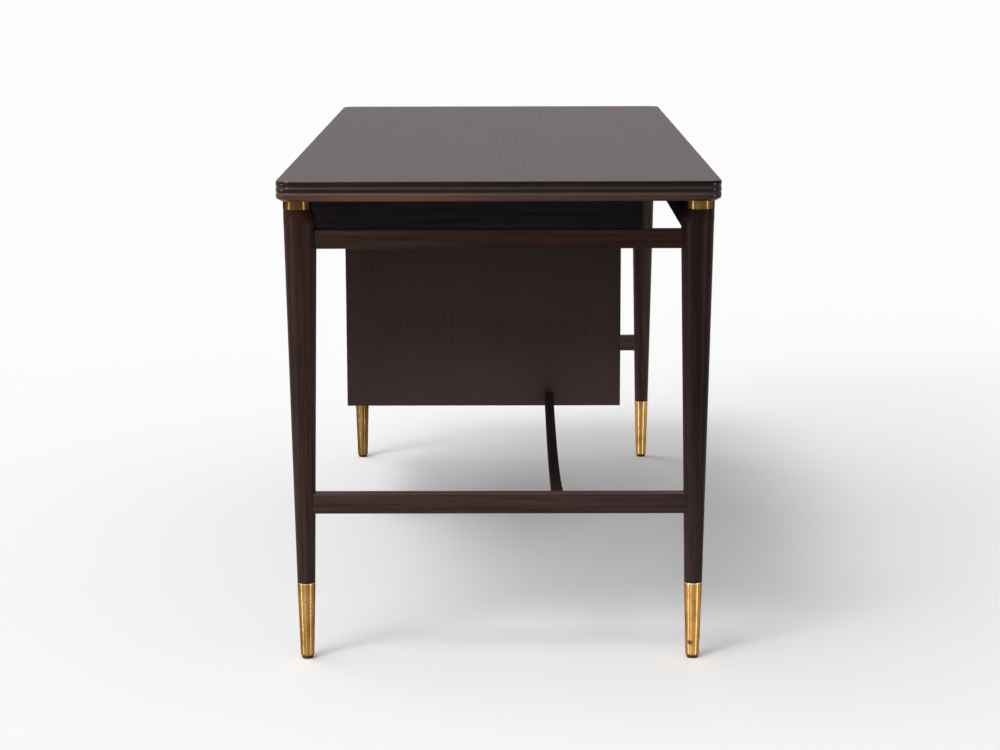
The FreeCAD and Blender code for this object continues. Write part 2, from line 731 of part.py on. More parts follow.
def make_leaf(side):
    middle = groove_middle(side)
    face, back = middle - d.slat_depth / 2, middle + d.slat_depth / 2
    if side == "left":
        leaf_low = bay_left + d.end_gap
        stile_low, slats_low = leaf_low, leaf_low + d.stile_width
    else:
        leaf_low = bay_right - d.end_gap - leaf_width
        stile_low, slats_low = leaf_low + leaf_width - d.stile_width, leaf_low
    stile_high = stile_low + d.stile_width
    low_z, high_z = compartment_low + d.end_gap, compartment_high - d.end_gap
    reach = d.groove_depth - d.end_gap
    tongue_low, tongue_high = compartment_low - reach, compartment_high + reach

    # Slats: flat behind, rounded in front, with a thinner tongue at each end
    slats = new_body("tambour_slats_" + side)
    pitch = (leaf_width - d.stile_width) / slat_count
    left_x, right_x = slats_low + d.slat_gap / 2, slats_low + pitch - d.slat_gap / 2
    shoulder = back - d.slat_side_depth
    rise = d.slat_depth - d.slat_side_depth
    section = new_sketch(slats, "XY_Plane", low_z)
    arc = (arc_radius(pitch - d.slat_gap, rise), (slats_low + pitch / 2, face))
    outline(section, [(left_x, back), (left_x, shoulder), (right_x, shoulder), (right_x, back)], {1: arc})
    slat = feature(slats, "Pad", section, Length=high_z - low_z)
    section = new_sketch(slats, "XY_Plane", tongue_low)
    half = d.groove_width / 2 - d.tongue_gap
    rectangle(section, (left_x + rise / 2, middle - half), (right_x - rise / 2, middle + half))
    tongue = feature(slats, "Pad", section, Length=tongue_high - tongue_low)
    pattern = slats.newObject("PartDesign::LinearPattern", slats.Name + "_pattern")
    pattern.Originals = [slat, tongue]
    pattern.Direction = (section, ["H_Axis"])
    bind(pattern, "Length", pitch * (slat_count - 1))
    pattern.Occurrences = slat_count
    slats.Tip = pattern

    # Stile, with a through hole for its cup
    stile = panel("tambour_stile_" + side, (stile_low, face, low_z), (stile_high, back, high_z))
    round_edges(stile, d.stile_round,
                lambda edge: runs_along(edge, "Z") and edge.BoundBox.YMax < middle.value)
    board(stile, (stile_low, middle - half, tongue_low),
          (stile_high, middle + half, tongue_high))
    cup_x, cup_z = (stile_low + stile_high) / 2, (low_z + high_z) / 2
    rod(stile, "Subtractive", (cup_x, back + d.overrun, cup_z), d.cup_width / 2 + d.fit,
        d.slat_depth + d.overrun * 2, "-Y")

    # Canvas, glued behind the slats and the stile
    panel("tambour_canvas_" + side, (leaf_low, back, low_z),
          (leaf_low + leaf_width, back + d.canvas_thickness, high_z))

    # Cup pull: a flange on the stile's face and a shallow well in its hole
    cup = new_body("cup_pull_" + side)
    profile = new_sketch(cup, "XZ_Plane")
    well, wall = d.cup_width / 2, d.cup_wall
    rim, flange = well + d.cup_lip, d.cup_flange_thickness
    outline(profile, [(0, -d.slat_depth), (well, -d.slat_depth), (well, 0), (rim, 0),
                      (rim - flange / 2, flange), (well - wall, flange),
                      (well - wall, wall - d.slat_depth), (0, wall - d.slat_depth)])
    revolve(cup, profile)
    cup.Placement = FreeCAD.Placement(FreeCAD.Vector(), FreeCAD.Rotation(FreeCAD.Vector(1, 0, 0), 90))
    for name, place in zip("xyz", (cup_x, face, cup_z)):
        bind(cup, "Placement.Base." + name, place)


# Drawers
def make_drawer(name, left, right, knob_shares):
    """A drawer that runs on the case floor between left and right. Its boards are housed in the front."""
    front_back = frieze_front + d.drawer_front_thickness
    side_low = drawer_floor + d.running_gap
    side_high = rail_low - d.drawer_side_drop
    outer_left, outer_right = left + d.drawer_side_gap, right - d.drawer_side_gap
    inner_left, inner_right = outer_left + d.drawer_board, outer_right - d.drawer_board
    bottom_low = side_low + d.drawer_bottom_lift
    bottom_high = bottom_low + d.drawer_bottom_thickness
    housing = front_back - d.drawer_housing_depth
    rear = inner_back - d.end_gap
    back_front = rear - d.drawer_board * 2

    front = panel(name + "_front", (left + d.drawer_gap, frieze_front, drawer_floor + d.drawer_gap),
                  (right - d.drawer_gap, front_back, rail_low - d.drawer_gap))
    cuts = [(outer_left, inner_left, side_low, side_high), (inner_right, outer_right, side_low, side_high),
            (inner_left - d.drawer_groove_depth, inner_right + d.drawer_groove_depth, bottom_low,
             bottom_high)]
    for low_x, high_x, low_z, high_z in cuts:
        block(front, "Subtractive", (low_x - d.fit, housing - d.fit, low_z - d.fit),
              (high_x - low_x + d.fit * 2, d.drawer_housing_depth + d.overrun, high_z - low_z + d.fit * 2))

    for side, low_x, groove_x in (("left", outer_left, inner_left - d.drawer_groove_depth - d.fit),
                                  ("right", inner_right, inner_right - d.overrun)):
        body = panel("%s_side_%s" % (name, side), (low_x, housing, side_low),
                     (low_x + d.drawer_board, rear, side_high))
        block(body, "Subtractive", (groove_x, housing - d.overrun, bottom_low - d.fit),
              (d.drawer_groove_depth + d.fit + d.overrun, rear - housing + d.overrun * 2,
               d.drawer_bottom_thickness + d.fit * 2))
    panel(name + "_back", (inner_left, back_front, bottom_high),
          (inner_right, back_front + d.drawer_board, side_high - d.drawer_bottom_lift))
    panel(name + "_bottom", (inner_left - d.drawer_groove_depth, housing, bottom_low),
          (inner_right + d.drawer_groove_depth, back_front + d.drawer_board, bottom_high))

    # Knobs, turned about an axis that points at the sitter
    knobs = new_body(name + "_knobs")
    height = (drawer_floor + rail_low) / 2
    for share in knob_shares:
        x = left + (right - left) * share
        rod(front, "Subtractive", (x, frieze_front + d.knob_peg_length, height),
            d.knob_peg_width / 2 + d.fit, d.knob_peg_length + d.overrun, "-Y")
        profile = new_sketch(knobs, "XY_Plane", height)
        tip = frieze_front - d.knob_reach
        cap = tip + d.knob_cap
        outline(profile, [(x, frieze_front + d.knob_peg_length - d.fit),
                          (x, tip), (x + d.knob_width / 2 - d.knob_round, tip),
                          (x + d.knob_width / 2, tip + d.knob_round),
                          (x + d.knob_width / 2, cap - d.knob_round), (x + d.knob_neck_width / 2, cap),
                          (x + d.knob_neck_width / 2, frieze_front), (x + d.knob_peg_width / 2, frieze_front),
                          (x + d.knob_peg_width / 2, frieze_front + d.knob_peg_length - d.fit)])
        turned = feature(knobs, "Revolution", profile)
        turned.ReferenceAxis = (profile, ["Edge1"])


def check_and_write():
    doc.recompute()
    for item in doc.Objects:
        if "Invalid" in item.State or "Error" in item.State:
            raise RuntimeError("%s failed: %s" % (item.Name, item.State))
        base = getattr(item, "BaseFeature", None)
        cuts = item.TypeId in ("PartDesign::Pocket", "PartDesign::Groove") or "Subtractive" in item.TypeId
        if cuts and not item.Shape.Volume < base.Shape.Volume:
            raise RuntimeError("%s cuts nothing" % item.Name)
    os.makedirs("parts", exist_ok=True)
    for body in bodies:
        if body.Shape.isNull() or not body.Shape.isValid() or not body.Shape.Solids:
            raise RuntimeError("%s has no valid shape" % body.Label)
    for body in bodies:
        body.Shape.exportStep("parts/%s.step" % body.Label)
    print(len(bodies), "nodes,", sum(len(body.Shape.Solids) for body in bodies), "solids")


make_top()
for row, back in LEG_ROWS.items():
    for side, right in LEG_SIDES.items():
        make_leg(row, back, side, right)
        make_foot(row, back, side, right)
make_sabot_pins()
for side, right in LEG_SIDES.items():
    make_end_rail("upper", side, right, upper_rail_top, d.upper_rail_height)
    make_end_rail("lower", side, right, d.lower_rail_top, d.lower_rail_height)
make_rear_rail()
make_stretcher("long_stretcher", pedestal_right, rail_inner_x, d.stretcher_sag)
make_stretcher("short_stretcher", -rail_inner_x, pedestal_left)
make_case()
make_shelf()
make_track("tambour_track_bottom", pedestal_floor, compartment_low - d.groove_depth)
make_track("tambour_track_top", compartment_high, compartment_high - d.overrun)
for side in LEG_SIDES:
    make_leaf(side)
make_drawer("pencil_drawer", pedestal_right, frieze_right, PENCIL_KNOB_SHARES)
make_drawer("pedestal_drawer", bay_left, bay_right, PEDESTAL_KNOB_SHARES)
check_and_write()
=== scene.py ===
import math

import bpy
from mathutils import Matrix, Vector

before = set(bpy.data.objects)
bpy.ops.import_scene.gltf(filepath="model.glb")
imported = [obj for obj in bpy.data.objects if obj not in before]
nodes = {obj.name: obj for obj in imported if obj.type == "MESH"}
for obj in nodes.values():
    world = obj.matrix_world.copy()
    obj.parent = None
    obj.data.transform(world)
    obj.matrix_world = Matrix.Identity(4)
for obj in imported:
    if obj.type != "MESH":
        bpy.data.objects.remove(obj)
bpy.context.view_layer.update()

scene = bpy.context.scene

# Camera, as fitted to the photograph: metres and radians

FOCAL_PIXELS = 2375.5
IMAGE_WIDTH = 1000
SENSOR_WIDTH = 36.0
CLIP_NEAR = 0.05
CLIP_FAR = 300.0
CAMERA_PLACE = (4.21897, 0.01276, 1.09369)
PITCH = 0.18412
YAW = -0.00328
ROLL = -0.00251
UP = Vector((0, 0, 1))


def make_camera():
    data = bpy.data.cameras.new("camera")
    data.sensor_fit = "HORIZONTAL"
    data.sensor_width = SENSOR_WIDTH
    data.lens = FOCAL_PIXELS / IMAGE_WIDTH * SENSOR_WIDTH
    data.clip_start = CLIP_NEAR
    data.clip_end = CLIP_FAR
    camera = bpy.data.objects.new("camera", data)
    scene.collection.objects.link(camera)
    level = math.cos(PITCH)
    forward = Vector((-math.cos(YAW) * level, math.sin(YAW) * level, -math.sin(PITCH)))
    right = forward.cross(UP).normalized()
    up = right.cross(forward)
    rolled_right = right * math.cos(ROLL) + up * math.sin(ROLL)
    rolled_up = up * math.cos(ROLL) - right * math.sin(ROLL)
    turn = Matrix((rolled_right, rolled_up, -forward)).transposed()
    camera.matrix_world = Matrix.Translation(CAMERA_PLACE) @ turn.to_4x4()
    scene.camera = camera


# Studio

# The wall's colour by the sine of the height over the horizon: 0 is level, 1 straight up
WALL = [
    (0.0, (0.34, 0.325, 0.36)),
    (0.065, (0.335, 0.31, 0.345)),
    (0.105, (0.34, 0.275, 0.272)),
    (0.18, (0.38, 0.36, 0.365)),
    (0.30, (0.46, 0.455, 0.46)),
    (0.50, 0.48),
    (1.0, 0.48),
]

# Suns: strength, degrees across, and the way their light travels
SUNS = {
    "window": (1.93, 120, (-0.60, 1.85, -1.0)),
    "key": (0.56, 18, (-0.45, 0.35, -1.0)),
    "accent": (0.52, 20, (-1.50, 1.50, -1.0)),
    "back": (0.16, 40, (0.70, 1.20, -1.0)),
}
SUN_PLACE = (0, 0, 3)
# This one would wash out the top in views from behind
NOT_MIRRORED = "accent"

# Soft boxes: place, size and power in watts. The low ones stay under the top's level
STRIPS = {
    "strip_left": ((2.25, -3.45, 0.37), (0.26, 0.70), 58.0),
    "strip_right": ((2.78, 3.10, 0.37), (0.26, 0.70), 52.0),
    "box_left": ((2.51, -1.15, 3.03), (0.80, 0.80), 190.0),
}
STRIP_TARGET = Vector((0.6, 0, 0.5))

FLOOR_REACH = 120.0
FLOOR_COLOUR = (0.93, 0.93, 0.93, 1)


def fill(ramp, stops):
    """Sets a colour ramp's stops, each (place, colour) or (place, grey)."""
    while len(ramp.elements) < len(stops):
        ramp.elements.new(0.5)
    for element, (place, colour) in zip(ramp.elements, stops):
        element.position = place
        element.color = (*colour, 1) if isinstance(colour, tuple) else (colour, colour, colour, 1)


def make_world():
    world = bpy.data.worlds.new("studio")
    scene.world = world
    world.use_nodes = True
    tree = world.node_tree
    tree.nodes.clear()
    out = tree.nodes.new("ShaderNodeOutputWorld")
    background = tree.nodes.new("ShaderNodeBackground")
    background.inputs["Strength"].default_value = 1.0
    coords = tree.nodes.new("ShaderNodeTexCoord")
    split = tree.nodes.new("ShaderNodeSeparateXYZ")
    ramp = tree.nodes.new("ShaderNodeValToRGB")
    ramp.color_ramp.interpolation = "EASE"
    fill(ramp.color_ramp, WALL)
    tree.links.new(coords.outputs["Generated"], split.inputs[0])
    tree.links.new(split.outputs["Z"], ramp.inputs["Fac"])
    tree.links.new(ramp.outputs["Color"], background.inputs["Color"])
    tree.links.new(background.outputs[0], out.inputs["Surface"])


def aim(name, data, place, travel):
    lamp = bpy.data.objects.new(name, data)
    scene.collection.objects.link(lamp)
    lamp.location = place
    lamp.rotation_mode = "QUATERNION"
    lamp.rotation_quaternion = Vector(travel).to_track_quat("-Z", "Y")
    return lamp


def make_lamps():
    for name, (energy, angle, travel) in SUNS.items():
        data = bpy.data.lights.new(name, "SUN")
        data.energy = energy
        data.angle = math.radians(angle)
        lamp = aim(name, data, SUN_PLACE, travel)
        lamp.visible_glossy = name != NOT_MIRRORED
    for name, (place, size, energy) in STRIPS.items():
        data = bpy.data.lights.new(name, "AREA")
        data.shape = "RECTANGLE"
        data.size, data.size_y = size
        data.energy = energy
        lamp = aim(name, data, place, STRIP_TARGET - Vector(place))
        # They only give metal and lacquer their bright lines
        lamp.visible_diffuse = False


def make_floor():
    reach = FLOOR_REACH
    corners = [(-reach, -reach, 0), (reach, -reach, 0), (reach, reach, 0), (-reach, reach, 0)]
    mesh = bpy.data.meshes.new("floor")
    mesh.from_pydata(corners, [], [(0, 1, 2, 3)])
    floor = bpy.data.objects.new("floor", mesh)
    scene.collection.objects.link(floor)
    material = Material("floor_paper", roughness=0.85, specular=0.0)
    material.set("Base Color", FLOOR_COLOUR)
    mesh.materials.append(material.made)


# Materials

# The colour sockets of a Mix node, which share their names with its others
MIX_COLOUR_A = 6
MIX_COLOUR_B = 7
MIX_COLOUR_OUT = 2


class Material:
    """A Principled material and short ways to add its nodes."""

    def __init__(self, name, roughness=0.4, specular=0.5, metallic=0.0):
        self.made = bpy.data.materials.new(name)
        self.made.use_nodes = True
        self.tree = self.made.node_tree
        self.shader = self.tree.nodes["Principled BSDF"]
        self.set("Roughness", roughness)
        self.set("Specular IOR Level", specular)
        self.set("Metallic", metallic)

    def set(self, name, number):
        self.shader.inputs[name].default_value = number

    def add(self, kind, settings=None, **inputs):
        node = self.tree.nodes.new("ShaderNode" + kind)
        for name, setting in (settings or {}).items():
            setattr(node, name, setting)
        for name, source in inputs.items():
            self.plug(node.inputs[name.replace("_", " ")], source)
        return node

    def plug(self, socket, source):
        if isinstance(source, bpy.types.NodeSocket):
            self.tree.links.new(source, socket)
        else:
            socket.default_value = source

    def link(self, source, name):
        self.tree.links.new(source, self.shader.inputs[name])

    def place(self, scale, shift=(0, 0, 0)):
        """The frame's own coordinates in metres, scaled and then shifted."""
        coords = self.add("TexCoord")
        return self.add("Mapping", Vector=coords.outputs["Object"], Scale=scale, Location=shift).outputs[0]

    def coordinate(self, axis):
        """The place along one of the frame's axes, in metres."""
        return self.add("SeparateXYZ", Vector=self.add("TexCoord").outputs["Object"]).outputs[axis]

    def noise(self, where, detail=2.0, roughness=0.5, distortion=0.0):
        return self.add("TexNoise", Vector=where, Scale=1.0, Detail=detail, Roughness=roughness,
                        Distortion=distortion).outputs["Fac"]

    def ramp(self, source, stops):
        node = self.add("ValToRGB", Fac=source)
        fill(node.color_ramp, stops)
        return node.outputs["Color"]

    def remap(self, source, low, high, to_low, to_high):
        """Maps low..high to to_low..to_high, and holds the ends beyond them."""
        node = self.add("MapRange", Value=source)
        for name, number in zip(("From Min", "From Max", "To Min", "To Max"), (low, high, to_low, to_high)):
            node.inputs[name].default_value = number
        return node.outputs["Result"]

    def math(self, operation, first, second=0.0):
        node = self.add("Math", {"operation": operation})
        self.plug(node.inputs[0], first)
        self.plug(node.inputs[1], second)
        return node.outputs[0]

    def mix(self, share, first, second, blend="MIX"):
        node = self.add("Mix", {"data_type": "RGBA", "blend_type": blend})
        self.plug(node.inputs["Factor"], share)
        self.plug(node.inputs[MIX_COLOUR_A], first)
        self.plug(node.inputs[MIX_COLOUR_B], second)
        return node.outputs[MIX_COLOUR_OUT]

    def tint(self, colour, axis, low, high, stops):
        """Multiplies the colour along one of the frame's axes."""
        place = self.remap(self.coordinate(axis), low, high, 0.0, 1.0)
        return self.mix(1.0, colour, self.ramp(place, stops), "MULTIPLY")

    def bump(self, layers):
        """layers are (height, strength, distance in metres), the last on top."""
        normal = None
        for height, strength, distance in layers:
            node = self.add("Bump", Height=height)
            node.inputs["Strength"].default_value = strength
            node.inputs["Distance"].default_value = distance
            if normal is not None:
                self.tree.links.new(normal, node.inputs["Normal"])
            normal = node.outputs["Normal"]
        self.link(normal, "Normal")


# Sizes of the part that the finishes follow, in metres
SLAT_PITCH = 0.0178
EDGE_HIGH = 0.7370        # the top's moulded edge, from its flat
EDGE_LOW = 0.7070         # down to the foot of its bevel
EDGE_SIDE = 0.32          # and half its length at the end of the desk
LEG_SPAN = (0.15, 0.65)
SABOT_RIM = (0.1178, 0.1192)
SABOT_FOOT = (0.0045, 0.0085)
JOINT_SHADOW_SPAN = (0.1200, 0.1235)
RAIL_SPAN = (-0.29, 0.29)
LOWER_RAIL_TOP = 0.260
PEDESTAL_SPAN = (-0.27, 0.18)
PEDESTAL_HEIGHT = (0.25, 0.62)
WEAVE = 0.0011

# Grain, as repeats in a metre: across it and along it
FIGURE = (14, 1.3)
STREAKS = (210, 5.0)
PORES = (1500, 34)

# Steps by which a seed moves a pattern
WOOD_STEPS = (1.7, 2.3, 3.1)
BRASS_STEPS = (1.3, 2.1, 0.7)


# The lacquer where it is polished: its roughness and its specular level
POLISHED = 0.20
GLOSS = 0.13


def along(axis, across, lengthwise):
    return tuple(lengthwise if name == axis else across for name in "XYZ")


def shifted(seed, steps):
    return tuple(seed * step for step in steps)


def wood(name, axis, dark, light, roughness=POLISHED, specular=GLOSS, seed=0, wash=None):
    """Lacquered wood whose grain runs along one axis of the frame."""
    m = Material(name, specular=specular)
    shift = shifted(seed, WOOD_STEPS)
    figure = m.noise(m.place(along(axis, *FIGURE), shift), detail=3.0, roughness=0.55, distortion=0.4)
    streaks = m.noise(m.place(along(axis, *STREAKS), shift), detail=4.0, roughness=0.62)
    pores = m.noise(m.place(along(axis, *PORES), shift), detail=1.0)
    both = m.math("ADD", m.math("MULTIPLY", streaks, 0.62), m.math("MULTIPLY", figure, 0.38))
    middle = tuple((a + b) / 2 for a, b in zip(dark, light))
    colour = m.ramp(both, [(0.33, dark), (0.50, middle), (0.68, light)])
    pore_mask = m.ramp(pores, [(0.30, 1.0), (0.42, 0.0)])
    pore_colour = (*[c * 0.45 for c in dark], 1)
    colour = m.mix(m.math("MULTIPLY", pore_mask, 0.45), colour, pore_colour)
    if wash is not None:
        colour = wash(m, colour)
    m.link(colour, "Base Color")
    m.link(m.remap(streaks, 0.25, 0.75, roughness * 0.8, roughness * 1.2), "Roughness")
    m.bump([(pore_mask, 0.10, -0.0002), (streaks, 0.10, 0.0002)])
    return m.made


# The top's finish by share of the way down its edge. Two pale lines of painted highlight run
# along the beads, and brown with painted light on it shows on the lowest bead and the bevel
FLAT_SHARE = 0.026
NOTHING_ADDED = (0, 0, 0)
HIGHLIGHT_PALE = (0.027, 0.022, 0.021)
EDGE_GLOSS = [(0.0, 0.42), (FLAT_SHARE, GLOSS)]
EDGE_PAINTED_HIGHLIGHTS = [(0.25, NOTHING_ADDED), (0.31, HIGHLIGHT_PALE), (0.37, HIGHLIGHT_PALE), (0.42, NOTHING_ADDED),
              (0.54, NOTHING_ADDED), (0.60, HIGHLIGHT_PALE), (0.66, HIGHLIGHT_PALE), (0.71, NOTHING_ADDED)]
# Brown of the wood with painted light on it, strongest on the lowest bead and the bevel
EDGE_BROWN_AND_LIGHT = [(0.52, NOTHING_ADDED), (0.62, (0.095, 0.052, 0.034)), (0.75, (0.110, 0.055, 0.034)),
              (0.83, (0.120, 0.058, 0.036)), (0.87, (0.150, 0.075, 0.050)),
              (0.985, (0.150, 0.080, 0.055)), (1.0, (0.050, 0.022, 0.013))]

# Painted light and shade: how the brown and the whole edge change from front to rear, mostly darker toward
# the rear
BROWN_PAINTED_FALLOFF = [(0.0, 0.35), (0.16, 0.72), (0.32, 0.68), (0.52, 0.44),
               (0.75, 0.36), (0.93, 0.30), (1.0, 0.12)]
EDGE_PAINTED_FALLOFF = [(0.0, (0.75, 0.58, 0.58)), (0.5, (0.45, 0.36, 0.36)), (1.0, (0.30, 0.24, 0.24))]


def top_edge_painted_light(m, colour):
    down = m.remap(m.coordinate("Z"), EDGE_LOW, EDGE_HIGH, 1.0, 0.0)
    m.link(m.ramp(down, EDGE_GLOSS), "Specular IOR Level")
    # Painted highlights along the beads, and painted light and shade on the brown and the whole edge
    lines = m.ramp(down, EDGE_PAINTED_HIGHLIGHTS)
    brown = m.tint(m.ramp(down, EDGE_BROWN_AND_LIGHT), "Y", -EDGE_SIDE, EDGE_SIDE, BROWN_PAINTED_FALLOFF)
    edge = m.tint(colour, "Y", -EDGE_SIDE, EDGE_SIDE, EDGE_PAINTED_FALLOFF)
    edge = m.mix(1.0, m.mix(1.0, edge, lines, "ADD"), brown, "ADD")
    return m.mix(m.remap(down, 0.0, FLAT_SHARE, 0.0, 1.0), colour, edge)


# A painted shadow in the joint, just above a sabot's rim
JOINT_SHADOW = (0.003, 0.002, 0.002, 1)
# A painted highlight along the upper arris of the lower rails
ARRIS_HIGHLIGHT = (0.095, 0.059, 0.055, 1)


def leg_painted_light(low, middle, high):
    """Painted light and shade: a leg is painted lighter and bluer low down and darker up under the top, and a
    painted shadow darkens it just above the sabot's rim.
    """
    def wash(m, colour):
        colour = m.tint(colour, "Z", *LEG_SPAN, [(0.0, low), (0.5, middle), (1.0, high)])
        return m.mix(m.remap(m.coordinate("Z"), *JOINT_SHADOW_SPAN, 0.8, 0.0), colour, JOINT_SHADOW)
    return wash


def rail_painted_light(left, middle, right, arris=None):
    """A rail is painted lighter or darker along it as light falls on it, and a painted highlight shows on its
    upper arris.
    """
    def wash(m, colour):
        colour = m.tint(colour, "Y", *RAIL_SPAN, [(0.0, left), (0.5, middle), (1.0, right)])
        if arris is not None:
            # A painted highlight along the arris
            highlight_mask = m.remap(m.coordinate("Z"), arris - 0.0016, arris - 0.0006, 0.0, 0.8)
            colour = m.mix(highlight_mask, colour, ARRIS_HIGHLIGHT)
        return colour
    return wash


# Painted light and shade on the pedestal's side from front to rear: lighter and bluer at its bottom, darker
# up under the top
SIDE_LOW_PAINTED_LIGHT = [(0.0, (0.67, 0.74, 0.80)), (0.5, (1.03, 1.14, 1.24)),
            (0.9, (1.00, 1.10, 1.22)), (1.0, (1.12, 1.24, 1.37))]
SIDE_HIGH_PAINTED_SHADE = [(0.0, (0.62, 0.53, 0.49)), (0.5, (0.30, 0.23, 0.23)), (0.8, 0.02), (1.0, 0.0)]
SIDE_SHEEN = (1.0, 0.74, 0.70, 1)


def pedestal_side_painted_shade(m, colour):
    """Painted shade: the pedestal's side is painted darker up under the top, most toward the back, and is
    duller there too.
    """
    m.set("Specular Tint", SIDE_SHEEN)
    m.link(m.remap(m.coordinate("Z"), *PEDESTAL_HEIGHT, 0.44, 0.14), "Specular IOR Level")
    low = m.tint(colour, "Y", *PEDESTAL_SPAN, SIDE_LOW_PAINTED_LIGHT)
    high = m.tint(colour, "Y", *PEDESTAL_SPAN, SIDE_HIGH_PAINTED_SHADE)
    return m.mix(m.remap(m.coordinate("Z"), *PEDESTAL_HEIGHT, 0.0, 1.0), low, high)


SLAT_TONE = (0.045, 0.022, 0.014, 1)


def slat_wash(m, colour):
    """Each slat is cut from another piece, so its tone differs."""
    number = m.math("FLOOR", m.math("DIVIDE", m.coordinate("X"), SLAT_PITCH))
    tone = m.add("TexWhiteNoise", {"noise_dimensions": "1D"}, W=number).outputs["Value"]
    return m.mix(m.remap(tone, 0.0, 1.0, 0.0, 0.35), colour, SLAT_TONE)


BRASS = [(0.30, (0.30, 0.150, 0.042)), (0.50, (0.48, 0.270, 0.085)), (0.72, (0.60, 0.380, 0.150))]
BRASS_EDGE = (0.30, 0.17, 0.10, 1)
BRASS_SPOT = (0.25, 0.12, 0.04, 1)
# RIM_GLINT is a painted highlight ring on a sabot's rim
RIM_GLINT = (0.95, 0.80, 0.55, 1)
FOOT_DARKER = (0.16, 0.060, 0.020, 1)
STAIN_COLOUR = (0.10, 0.018, 0.010, 1)


def stained(m, colour, shift, centre, radius):
    """A ragged stain around one point."""
    away = m.add("VectorMath", {"operation": "DISTANCE"})
    m.plug(away.inputs[0], m.add("TexCoord").outputs["Object"])
    away.inputs[1].default_value = centre
    blot = m.noise(m.place((230, 230, 230), shift), detail=2.0)
    ragged = m.math("ADD", away.outputs["Value"], m.remap(blot, 0.3, 0.7, -radius * 0.5, radius * 0.5))
    return m.mix(m.remap(ragged, radius * 0.45, radius * 0.85, 0.9, 0.0), colour, STAIN_COLOUR)


def brass(name, seed, tone=1.0, dull=1.0, stain=None, rim=False):
    """Satin brass with fine turning marks, a slight tarnish and handling marks; with rim, a painted highlight
    ring on the sabot's rim and a darker foot.
    """
    m = Material(name, metallic=1.0)
    m.set("Anisotropic", 0.95)
    m.set("Specular Tint", BRASS_EDGE)
    m.link(m.add("CombineXYZ", Z=1.0).outputs[0], "Tangent")
    shift = shifted(seed, BRASS_STEPS)
    tarnish = m.noise(m.place((38, 38, 24), shift), detail=4.0, roughness=0.6, distortion=0.3)
    rings = m.noise(m.place((60, 60, 2600), shift), detail=2.0)
    scratches = m.noise(m.place((420, 420, 40), shift), detail=3.0, roughness=0.7)
    colour = m.ramp(tarnish, [(place, tuple(tone * c for c in shade)) for place, shade in BRASS])
    spots = m.ramp(m.noise(m.place((300, 300, 300), shift), detail=2.0), [(0.22, 1.0), (0.30, 0.0)])
    colour = m.mix(m.math("MULTIPLY", spots, 0.35), colour, BRASS_SPOT)
    # A painted highlight ring along the sabot's rim; the sabot is also darker at its very foot
    if rim:
        height = m.coordinate("Z")
        colour = m.mix(m.remap(height, *SABOT_RIM, 0.0, 0.45), colour, RIM_GLINT)
        colour = m.mix(m.remap(height, *SABOT_FOOT, 0.8, 0.0), colour, FOOT_DARKER)
    if stain is not None:
        colour = stained(m, colour, shift, *stain)
    m.link(colour, "Base Color")
    dullness = m.remap(tarnish, 0.3, 0.7, 0.30 * dull, 0.26 * dull)
    m.link(m.math("ADD", dullness, m.remap(scratches, 0.3, 0.7, -0.03, 0.04)), "Roughness")
    m.bump([(rings, 0.06, 0.0001), (scratches, 0.05, 0.0002)])
    return m.made


def canvas():
    """Coarse plain weave."""
    m = Material("canvas", roughness=0.92, specular=0.15)
    m.set("Sheen Weight", 0.25)
    m.set("Sheen Roughness", 0.6)
    turn = 2 * math.pi / WEAVE
    split = m.add("SeparateXYZ", Vector=m.add("TexCoord").outputs["Object"])
    warp = m.math("SINE", m.math("MULTIPLY", split.outputs["X"], turn))
    weft = m.math("SINE", m.math("MULTIPLY", split.outputs["Z"], turn))
    weave = m.math("MULTIPLY", warp, weft)
    threads = m.noise(m.place((500, 500, 60)), detail=2.0)
    tone = m.math("ADD", m.math("MULTIPLY", weave, 0.2), threads)
    m.link(m.ramp(tone, [(0.2, (0.055, 0.042, 0.03)), (0.8, (0.16, 0.12, 0.085))]), "Base Color")
    m.bump([(weave, 0.5, 0.0003), (threads, 0.3, 0.0002)])
    return m.made


def glide_felt():
    m = Material("glide", roughness=0.8, specular=0.25)
    dust = m.noise(m.place((260, 260, 260)), detail=3.0)
    m.link(m.ramp(dust, [(0.3, (0.022, 0.011, 0.007)), (0.75, (0.070, 0.036, 0.022))]), "Base Color")
    m.link(m.remap(dust, 0.3, 0.7, 0.7, 0.9), "Roughness")
    m.bump([(dust, 0.3, 0.0003)])
    return m.made


def zinc():
    m = Material("steel", roughness=0.35, metallic=1.0)
    flecks = m.noise(m.place((500, 500, 500)), detail=3.0)
    m.link(m.ramp(flecks, [(0.3, (0.42, 0.41, 0.38)), (0.7, (0.66, 0.65, 0.62))]), "Base Color")
    m.link(m.remap(flecks, 0.3, 0.7, 0.25, 0.45), "Roughness")
    m.bump([(flecks, 0.15, 0.0002)])
    return m.made


def pin_metal():
    m = Material("sabot_pin", roughness=0.4, metallic=1.0)
    flecks = m.noise(m.place((900, 900, 900)), detail=2.0)
    m.link(m.ramp(flecks, [(0.3, (0.10, 0.05, 0.02)), (0.7, (0.34, 0.19, 0.07))]), "Base Color")
    m.link(m.remap(flecks, 0.3, 0.7, 0.3, 0.5), "Roughness")
    return m.made


# Colours of the lacquer: (dark, light) for each kind of piece

TOP = ((0.012, 0.0055, 0.0045), (0.036, 0.0165, 0.0120))
ESPRESSO = ((0.0165, 0.0069, 0.0045), (0.0518, 0.0211, 0.0139))
RAIL = ((0.0215, 0.009, 0.0053), (0.0711, 0.0312, 0.021))
PANEL = ((0.0350, 0.0197, 0.0163), (0.0626, 0.0366, 0.0296))
PANEL_SIDE = ((0.0120, 0.0055, 0.0040), (0.0230, 0.0100, 0.0075))
